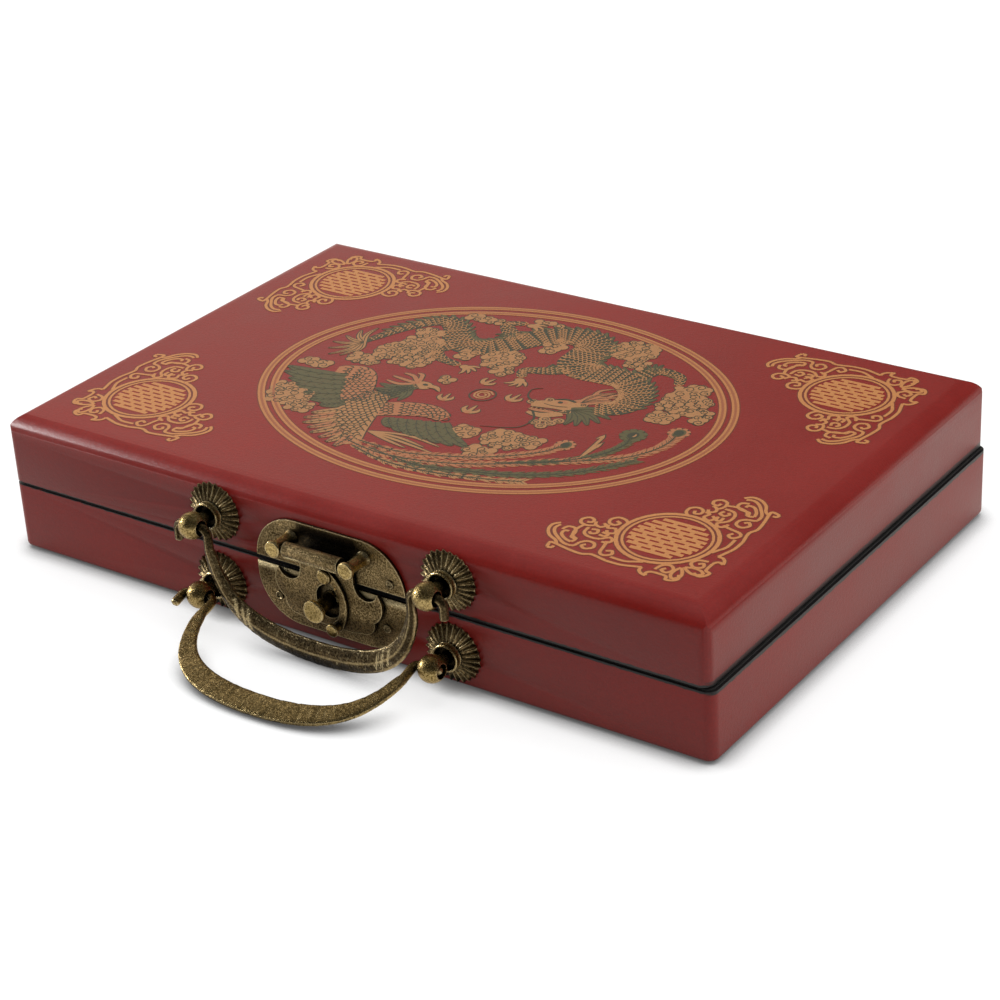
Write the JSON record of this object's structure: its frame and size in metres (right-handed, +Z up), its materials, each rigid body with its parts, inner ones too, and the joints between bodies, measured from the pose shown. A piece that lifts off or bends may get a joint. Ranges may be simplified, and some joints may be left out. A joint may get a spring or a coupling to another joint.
{
  "type": "mahjong case",
  "caption": "Flat hinged mahjong tile case: two leather-wrapped wooden trays with an oval hasp lock and two drop handles on the front.",
  "frame": {"origin": "centre of the case's rest face, at floor level", "axes": "+X along the front, towards the right as one faces the lock; +Y from the front with the lock and handles to the back with the hinges; +Z up"},
  "size_m": [0.26, 0.2206, 0.0476],
  "materials": {
    "red_leather": "thin smooth leather, satin lacquer, gold print on the lid",
    "board_wood": "plain unfinished board",
    "black_edge": "black lacquered edge strip, satin",
    "lining_felt": "short-pile felt lining",
    "foot_felt": "black felt sole",
    "antique_brass": "antique patina with bright worn edges"
  },
  "bodies": {
    "base": {"base_board_back": "board_wood", "base_board_front": "board_wood", "base_board_left": "board_wood", "base_board_right": "board_wood", "base_collar_left": "antique_brass", "base_collar_right": "antique_brass", "base_cover": "red_leather", "base_eye_left": "antique_brass", "base_eye_right": "antique_brass", "base_floor_felt": "lining_felt", "base_foot_felt": "foot_felt", "base_lock_plate": "antique_brass", "base_panel": "board_wood", "base_plate_nails": "antique_brass", "base_rim": "black_edge", "base_rosette_left": "antique_brass", "base_rosette_right": "antique_brass", "base_wall_felt": "lining_felt", "base_washer_left": "antique_brass", "base_washer_right": "antique_brass", "hinge_base_leaf_left": "antique_brass", "hinge_base_leaf_right": "antique_brass", "hinge_base_screws": "antique_brass", "hinge_pin_left": "antique_brass", "hinge_pin_right": "antique_brass", "staple": "antique_brass"},
    "lid": {"hasp_pin": "antique_brass", "hasp_stud_left": "antique_brass", "hasp_stud_right": "antique_brass", "hinge_lid_leaf_left": "antique_brass", "hinge_lid_leaf_right": "antique_brass", "hinge_lid_screws": "antique_brass", "lid_board_back": "board_wood", "lid_board_front": "board_wood", "lid_board_left": "board_wood", "lid_board_right": "board_wood", "lid_collar_left": "antique_brass", "lid_collar_right": "antique_brass", "lid_cover": "red_leather", "lid_eye_left": "antique_brass", "lid_eye_right": "antique_brass", "lid_lock_plate": "antique_brass", "lid_panel": "board_wood", "lid_plate_nails": "antique_brass", "lid_rim": "black_edge", "lid_roof_felt": "lining_felt", "lid_rosette_left": "antique_brass", "lid_rosette_right": "antique_brass", "lid_wall_felt": "lining_felt", "lid_washer_left": "antique_brass", "lid_washer_right": "antique_brass"},
    "hasp": {"hasp": "antique_brass", "latch_rivet": "antique_brass"},
    "latch": {"latch_knob": "antique_brass", "swing_latch": "antique_brass"},
    "upper_handle": {"upper_handle": "antique_brass"},
    "lower_handle": {"lower_handle": "antique_brass"}
  },
  "joints": [
    {"name": "lid_hinge", "type": "hinge", "parent": "base", "child": "lid", "pos_m": [0, 0.0879, 0.02405], "axis": [-1, 0, 0], "range_deg": [0, 180]},
    {"name": "hasp_hinge", "type": "hinge", "parent": "lid", "child": "hasp", "pos_m": [0, -0.0934, 0.0347], "axis": [-1, 0, 0], "range_deg": [0, 165]},
    {"name": "latch_pivot", "type": "hinge", "parent": "hasp", "child": "latch", "pos_m": [0, -0.0888, 0.0262], "axis": [0, -1, 0], "range_deg": [-12, 50]},
    {"name": "upper_handle_swing", "type": "hinge", "parent": "lid", "child": "upper_handle", "pos_m": [0, -0.0966, 0.0354], "axis": [-1, 0, 0], "range_deg": [-4, 180]},
    {"name": "lower_handle_swing", "type": "hinge", "parent": "base", "child": "lower_handle", "pos_m": [0, -0.0966, 0.0116], "axis": [-1, 0, 0], "range_deg": [-72, 62]}
  ]
}
